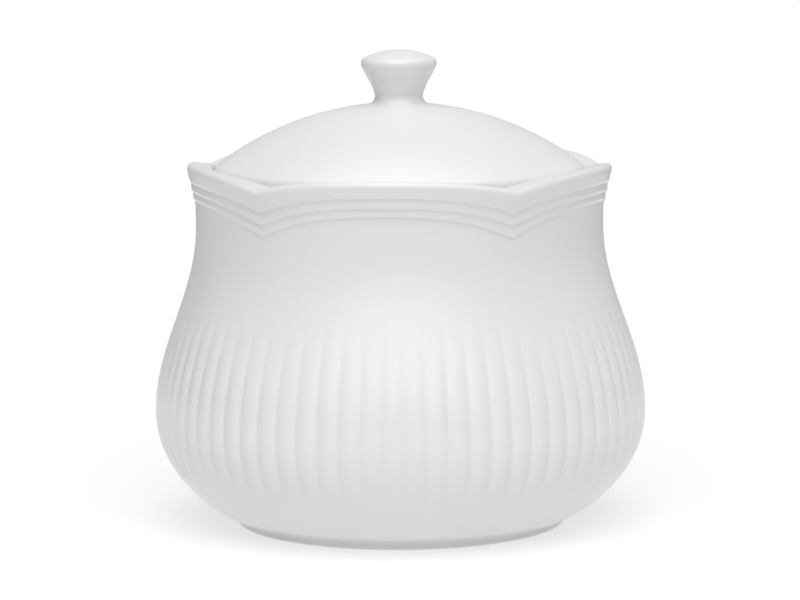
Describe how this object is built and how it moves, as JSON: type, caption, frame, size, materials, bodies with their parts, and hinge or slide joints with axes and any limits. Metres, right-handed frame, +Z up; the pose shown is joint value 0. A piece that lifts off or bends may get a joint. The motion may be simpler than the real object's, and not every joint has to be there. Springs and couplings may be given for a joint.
{
  "type": "covered sugar bowl",
  "caption": "Bellied, fluted white porcelain sugar bowl with a waisted neck, a five-sided stepped lip and a loose domed lid with a flared knob.",
  "frame": {"origin": "centre of the foot, on the surface that the bowl stands on", "axes": "+Z up along the axis of the bowl and the lid, -Y towards the front face of the lip"},
  "size_m": [0.1044, 0.1044, 0.1005],
  "materials": {
    "bowl_glaze": "clear gloss glaze on white porcelain, unglazed under the foot ring",
    "lid_glaze": "clear gloss glaze on white porcelain, unglazed on the seat"
  },
  "bodies": {
    "bowl": {"bowl": "bowl_glaze"},
    "lid": {"lid": "lid_glaze"}
  },
  "joints": [
    {"name": "lid_lift", "type": "slide", "parent": "bowl", "child": "lid", "axis": [0, 0, 1], "range_m": [0, 0.04]}
  ]
}
